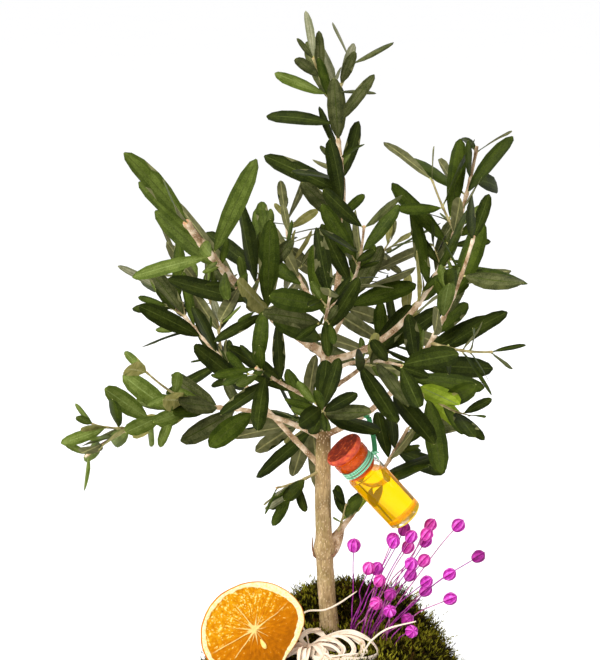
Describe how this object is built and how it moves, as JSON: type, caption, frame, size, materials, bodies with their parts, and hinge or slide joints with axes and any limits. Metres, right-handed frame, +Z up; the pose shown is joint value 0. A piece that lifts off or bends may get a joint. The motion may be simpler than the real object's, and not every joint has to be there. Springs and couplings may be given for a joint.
{
  "type": "potted olive bonsai",
  "caption": "Small potted olive tree with a slim bare trunk and open leafy crown, moss mound, hanging oil bottle, dried orange slice, dyed flax pods and raffia.",
  "frame": {"origin": "centre of the pot's flat underside", "axes": "+Z up along the trunk, -Y towards the viewer of the picture, +X to that viewer's right"},
  "size_m": [0.2634, 0.2231, 0.4493],
  "materials": {
    "pot": "unglazed, matt",
    "soil": "loose grit",
    "moss": "tufted, matt",
    "bark": "smooth young bark",
    "twig_bark": "smooth young bark",
    "leaf": "satin",
    "young_leaf": "satin",
    "glass": "clear",
    "oil": "clear yellow",
    "stopper": "matt red",
    "thread": "matt",
    "orange": "dried",
    "raffia": "matt",
    "flax": "dyed, matt"
  },
  "bodies": {
    "root": {"bottle_glass": "glass", "bottle_oil": "oil", "bottle_stopper": "stopper", "bough_back_left": "twig_bark", "bough_back_low": "twig_bark", "bough_back_right": "twig_bark", "bough_front_left": "twig_bark", "bough_front_low": "twig_bark", "bough_front_mid": "twig_bark", "bough_front_right": "twig_bark", "bough_inner_right": "twig_bark", "bough_inner_top": "twig_bark", "bough_low_left": "twig_bark", "bough_low_right": "twig_bark", "bough_mid_left": "twig_bark", "bough_right_low": "twig_bark", "bough_top": "twig_bark", "bough_upper_left": "twig_bark", "bough_upper_right": "twig_bark", "flax": "flax", "foliage_back_left": "leaf", "foliage_back_low": "leaf", "foliage_back_right": "leaf", "foliage_front_left": "leaf", "foliage_front_low": "leaf", "foliage_front_mid": "leaf", "foliage_front_right": "leaf", "foliage_inner_right": "leaf", "foliage_inner_top": "leaf", "foliage_low_bud": "leaf", "foliage_low_left": "young_leaf", "foliage_low_right": "leaf", "foliage_low_twig": "leaf", "foliage_mid_left": "leaf", "foliage_right_low": "leaf", "foliage_top": "leaf", "foliage_upper_left": "leaf", "foliage_upper_right": "leaf", "leader": "bark", "moss": "moss", "orange_slice": "orange", "pot": "pot", "raffia": "raffia", "soil": "soil", "thread": "thread", "trunk": "bark"}
  },
  "joints": []
}
